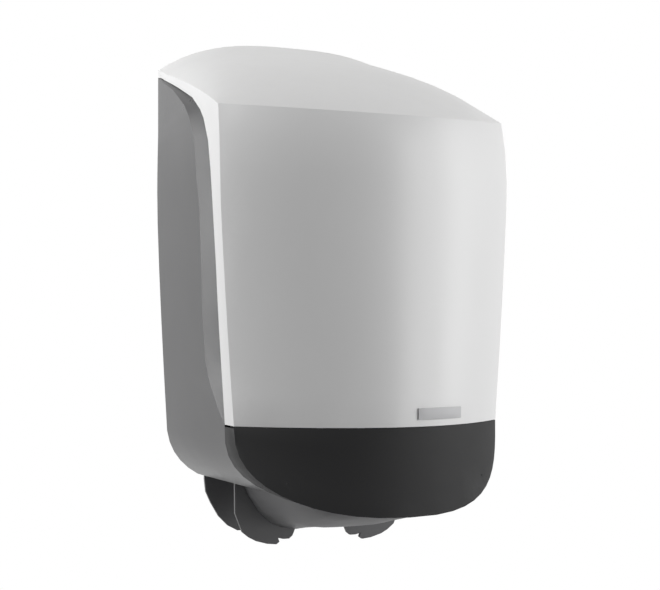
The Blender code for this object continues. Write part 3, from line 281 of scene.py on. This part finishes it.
# %% Make the grain group
def make_grain():
    group, start, end = effect_group(
        "mould grain",
        inputs=[("Pebble Size", 1400.0), ("Peel Size", 90.0), ("Peel Share", 0.35)],
        outputs=[("Height", "Float"), ("Speckle", "Float")],
    )
    pebble = noise_node(group, start.outputs["Pebble Size"], detail=3.0, roughness=0.6)
    peel = noise_node(group, start.outputs["Peel Size"], detail=2.0)
    weighted = math_node(group, "MULTIPLY", peel, start.outputs["Peel Share"])
    feed(group, end.inputs["Height"], math_node(group, "ADD", pebble, weighted))
    feed(group, end.inputs["Speckle"], pebble)
    return group


grain = make_grain()
print("group:", grain.name)

# %% [markdown]
# ### Colour drift
#
# A large moulding is never one even colour: the plastic flows, and the light catches flow marks. A slow noise
# mixes two close shades. It stays faint, because a strong drift would look like dirt. Noise keeps mostly to
# the middle of its range, so that middle is stretched until both shades are reached.

# %% Make the drift group
NOISE_LOW, NOISE_HIGH = 0.3, 0.7
MID_GREY = (0.5, 0.5, 0.5, 1.0)


def make_drift():
    group, start, end = effect_group(
        "colour drift",
        inputs=[("Shade A", MID_GREY), ("Shade B", MID_GREY), ("Size", 9.0)],
        outputs=[("Color", "Color"), ("Drift", "Float")],
    )
    slow = noise_node(group, start.outputs["Size"], detail=4.0, roughness=0.55)
    spread = range_node(group, slow, NOISE_LOW, NOISE_HIGH)
    drifting = mixed_colour(group, spread, start.outputs["Shade A"], start.outputs["Shade B"])
    feed(group, end.inputs["Color"], drifting)
    feed(group, end.inputs["Drift"], spread)
    return group


drift = make_drift()
print("group:", drift.name)

# %% [markdown]
# ### Rubbed edges
#
# Edges that are touched and wiped turn smoother and a little paler. Pointiness tells where the surface bends
# outwards, and noise breaks the mask up so that the wear isn't an even line.

# %% Make the rubbed edge group
def make_rubbed():
    group, start, end = effect_group(
        "rubbed edges",
        inputs=[("From", 0.51), ("To", 0.60), ("Break Size", 260.0)],
        outputs=[("Mask", "Float")],
    )
    bend = group.nodes.new("ShaderNodeNewGeometry")
    edge = range_node(group, bend.outputs["Pointiness"], start.outputs["From"], start.outputs["To"])
    broken = noise_node(group, start.outputs["Break Size"], detail=4.0, roughness=0.65)
    feed(group, end.inputs["Mask"], math_node(group, "MULTIPLY", edge, broken))
    return group


rubbed = make_rubbed()
print("group:", rubbed.name)

# %% [markdown]
# ### Settled dust
#
# Paper rolls shed fine dust, and it settles on what faces up. The upward part of the normal is the mask, and
# two noises make it patchy. The dust only changes colour and roughness, since its grains are too small to
# see.

# %% Make the dust group
UPWARD_START = 0.35
SPECKS_PER_METRE = 2600.0
PATCH_GAIN = 2.2


def make_dust():
    group, start, end = effect_group(
        "settled dust",
        inputs=[("Amount", 0.3), ("Patch Size", 60.0)],
        outputs=[("Mask", "Float")],
    )
    facing = group.nodes.new("ShaderNodeNewGeometry")
    split = group.nodes.new("ShaderNodeSeparateXYZ")
    feed(group, split.inputs[0], facing.outputs["Normal"])
    upward = range_node(group, split.outputs["Z"], UPWARD_START)
    patches = noise_node(group, start.outputs["Patch Size"], detail=6.0, roughness=0.7)
    specks = noise_node(group, SPECKS_PER_METRE, detail=1.0)
    patchy = math_node(group, "MULTIPLY", math_node(group, "MULTIPLY", patches, specks), PATCH_GAIN)
    settled = math_node(group, "MULTIPLY", upward, patchy)
    feed(group, end.inputs["Mask"], math_node(group, "MULTIPLY", settled, start.outputs["Amount"]))
    return group


dust = make_dust()
print("group:", dust.name)

# %% [markdown]
# ## Moulded plastics
#
# One function builds every plastic here, because they differ only in shade, gloss and grain: the colour
# starts from the drift, gets paler at rubbed edges and under dust, and the roughness follows the same masks.
# The Principled shader stays in the material, and plain numbers such as the specular level stay on its
# sockets.

# %% Place a group, and bend the light with a height
def use_group(tree, group, **values):
    """Places a group; Shade_A=... sets its socket Shade A."""
    placed = tree.nodes.new("ShaderNodeGroup")
    placed.node_tree = group
    for label, value in values.items():
        placed.inputs[label.replace("_", " ")].default_value = value
    return placed


def bump_surface(tree, shader, height, depth):
    """Feeds the shader's normal from a height; the depth is in metres."""
    bump = tree.nodes.new("ShaderNodeBump")
    bump.inputs["Strength"].default_value = 1.0
    feed(tree, bump.inputs["Distance"], depth)
    feed(tree, bump.inputs["Height"], height)
    feed(tree, shader.inputs["Normal"], bump.outputs["Normal"])


def scaled(shade, factor, lift=0.0):
    """A shade made paler or darker, as a colour with alpha; no part goes above white."""
    return tuple(min(part * factor + lift, 1.0) for part in shade) + (1.0,)


print("surface helpers ready")

# %% [markdown]
# The numbers below say how strongly each effect acts. Worn plastic is at least a quarter paler and a little
# smoother, the pebbles make it slightly rougher, and dust makes it the roughest.

# %% A function for moulded plastic
DUST_SHADE = (0.62, 0.60, 0.57, 1.0)
WORN_GAIN, WORN_LIFT = 1.25, 0.02
SPECKLE_ROUGHENS, WEAR_SMOOTHS, DUST_ROUGHENS = 0.06, 0.12, 0.4


def moulded_plastic(name, shade, gloss, pebbles, grain_depth, drift_share, dust_amount, wear_share=0.5,
                    specular=0.5):
    """shade is the middle colour as (r, g, b), and gloss is (smoothest, roughest)."""
    material, tree, shader = new_material(name)
    darker, paler = scaled(shade, 1 - drift_share), scaled(shade, 1 + drift_share)
    flow = use_group(tree, drift, Shade_A=darker, Shade_B=paler)
    edges = use_group(tree, rubbed)
    settled = use_group(tree, dust, Amount=dust_amount)
    pebbled = use_group(tree, grain, Pebble_Size=pebbles)
    worn = math_node(tree, "MULTIPLY", edges.outputs["Mask"], wear_share)
    colour = mixed_colour(tree, worn, flow.outputs["Color"], scaled(shade, WORN_GAIN, WORN_LIFT))
    colour = mixed_colour(tree, settled.outputs["Mask"], colour, DUST_SHADE)
    feed(tree, shader.inputs["Base Color"], colour)
    rough = range_node(tree, flow.outputs["Drift"], low=gloss[0], high=gloss[1])
    for operation, mask, amount in (
        ("ADD", pebbled.outputs["Speckle"], SPECKLE_ROUGHENS),
        ("SUBTRACT", worn, WEAR_SMOOTHS),
        ("ADD", settled.outputs["Mask"], DUST_ROUGHENS),
    ):
        rough = math_node(tree, operation, rough, math_node(tree, "MULTIPLY", mask, amount))
    feed(tree, shader.inputs["Roughness"], rough)
    bump_surface(tree, shader, pebbled.outputs["Height"], grain_depth)
    shader.inputs["Specular IOR Level"].default_value = specular
    return material


print("plastics can be made")

# %% [markdown]
# The cover is satin white and almost smooth. The housing's sides are the smoothest of the dark plastics. The
# wall plate and ears are that dark plastic made a shade paler, which is painted light for the light they
# catch. The skirt has the deepest grain and the least gloss. The chin and the tray are that dark plastic
# painted a satin grey between these and the light grey of the inserts, which is painted light for the light
# the underside takes from below.

# %% Make the six plastics
white_cover = moulded_plastic("satin white cover", (0.80, 0.80, 0.80), (0.32, 0.40), pebbles=2200.0,
                              grain_depth=0.000012, drift_share=0.012, dust_amount=0.18, wear_share=0.25)
dark_housing = moulded_plastic("dark grey housing", (0.040, 0.040, 0.042), (0.26, 0.32), pebbles=1500.0,
                               grain_depth=0.00003, drift_share=0.08, dust_amount=0.15, specular=0.40)
# The wall plate's shade is the housing's dark plastic made paler: painted light for the light the ears and
# plate catch.
wall_plate_with_painted_light = moulded_plastic("grey wall plate with painted light", (0.068, 0.068, 0.071), (0.34, 0.42), pebbles=1500.0,
                             grain_depth=0.00003, drift_share=0.08, dust_amount=0.15)
black_skirt = moulded_plastic("grained black skirt", (0.009, 0.009, 0.0095), (0.50, 0.58), pebbles=1250.0,
                              grain_depth=0.00009, drift_share=0.10, dust_amount=0.06, specular=0.20)
# The chin's grey is the dark plastic made paler still: painted light for the pale light its underside
# reflects from below.
chin_grey_with_painted_light = moulded_plastic("satin grey chin with painted light", (0.105, 0.105, 0.108), (0.42, 0.50), pebbles=1900.0,
                            grain_depth=0.00002, drift_share=0.07, dust_amount=0.15, specular=0.30)
light_insert = moulded_plastic("light grey insert", (0.50, 0.50, 0.51), (0.34, 0.44), pebbles=1700.0,
                               grain_depth=0.00002, drift_share=0.04, dust_amount=0.2)
print("six plastics")

# %% [markdown]
# ## Rubber, plated steel and the lock
#
# The nozzle's membrane is soft rubber: almost no gloss and a dusty bloom. Screws, pins and the latch bar are
# zinc plated, which shows as a cloudy sheen rather than a mirror, and the lock's barrel is nickel plated. The
# clouds are the same slow drift as on the plastics, only much smaller.

# %% Make the rubber and the metals
CLOUD_DARKENS = 0.86
RUBBED_METAL = (0.72, 0.72, 0.74, 1.0)
PLATING_GRAIN, PLATING_DEPTH = 1800.0, 0.00002


def plated_metal(name, shade, gloss, clouds):
    """shade is the paler colour of the clouds, and clouds counts them in a metre."""
    material, tree, shader = new_material(name)
    shader.inputs["Metallic"].default_value = 1.0
    darker, paler = scaled(shade, CLOUD_DARKENS), scaled(shade, 1.0)
    cloudy = use_group(tree, drift, Shade_A=darker, Shade_B=paler, Size=clouds)
    edges = use_group(tree, rubbed)
    colour = mixed_colour(tree, edges.outputs["Mask"], cloudy.outputs["Color"], RUBBED_METAL)
    feed(tree, shader.inputs["Base Color"], colour)
    rough = range_node(tree, cloudy.outputs["Drift"], low=gloss[0], high=gloss[1])
    feed(tree, shader.inputs["Roughness"], rough)
    bump_surface(tree, shader, noise_node(tree, PLATING_GRAIN, detail=3.0), PLATING_DEPTH)
    return material


zinc_steel = plated_metal("zinc plated steel", (0.60, 0.61, 0.63), (0.30, 0.48), clouds=160.0)
nickel_lock = plated_metal("nickel plated lock", (0.48, 0.47, 0.44), (0.30, 0.42), clouds=240.0)
black_rubber = moulded_plastic("black rubber", (0.022, 0.022, 0.022), (0.70, 0.82), pebbles=900.0,
                               grain_depth=0.00005, drift_share=0.15, dust_amount=0.5, specular=0.3)
print("two metals and one rubber")

# %% [markdown]
# ## Give each piece its surface
#
# The solids come as plain triangles with sharp edges. Real mouldings have edges rounded by half a millimetre
# or so, which catch the light as thin lines. A Weld modifier joins the triangles, a Bevel rounds the edges
# that are sharp enough, and its hardened normals keep the large faces even. Flat-faced pieces also get a
# Weighted Normal modifier, because their long thin triangles would otherwise show as waves. The rounding
# could be cut into the meshes too, but modifiers leave the solid's own mesh alone.

# %% A function that dresses pieces
WELD_DISTANCE = 0.00002


def dress(names, material, radius, steps=3, angle=28, flat_faced=False):
    """Gives pieces a finish, and rounds edges that turn by more than the angle in degrees."""
    for name in names:
        piece = nodes[name]
        piece.data.materials.clear()
        piece.data.materials.append(material)
        piece.data.polygons.foreach_set("use_smooth", [True] * len(piece.data.polygons))
        piece.modifiers.new("join_triangles", "WELD").merge_threshold = WELD_DISTANCE
        bevel = piece.modifiers.new("round_edges", "BEVEL")
        bevel.width = radius
        bevel.segments = steps
        bevel.limit_method = "ANGLE"
        bevel.angle_limit = math.radians(angle)
        bevel.harden_normals = True
        if flat_faced:
            piece.modifiers.new("steady_flats", "WEIGHTED_NORMAL").keep_sharp = True
    print(material.name, "on", len(names), "pieces, edges rounded by %.2f mm" % (radius * 1000))


# %% [markdown]
# The cover, the skirt and the wall plate get the widest rounding, and the screws and the spring only a trace.
# The side panels take a smaller angle, so that their shallower edges are rounded too.

# %% Dress every piece
screws = [name for name in nodes if "screw" in name]
plain_steel = ["hinge_pin_left", "hinge_pin_right", "lock_bar", "key_cam", "cover_catch"]

dress(["cover_shell"], white_cover, 0.0008, steps=4)
dress(["cover_skirt"], black_skirt, 0.0006)
dress(["side_panel_left", "side_panel_right"], dark_housing, 0.0003, angle=17, flat_faced=True)
dress(["back_plate"], wall_plate_with_painted_light, 0.0006, flat_faced=True)
dress(["tear_ear_left", "tear_ear_right", "nozzle_ring"], wall_plate_with_painted_light, 0.0004, flat_faced=True)
dress(["lock_bracket", "bar_guide", "release_button"], dark_housing, 0.0003, flat_faced=True)
dress(["outlet_chin"], chin_grey_with_painted_light, 0.0005)
dress(["roll_tray"], chin_grey_with_painted_light, 0.0005, flat_faced=True)
dress(["nozzle_cup", "label_plate", "hinge_bush_left", "hinge_bush_right"], light_insert, 0.0002)
dress(["nozzle_membrane"], black_rubber, 0.0001)
dress(plain_steel + screws, zinc_steel, 0.0002)
dress(["lock_spring"], zinc_steel, 0.00005, steps=1)
dress(["key_barrel"], nickel_lock, 0.0002)
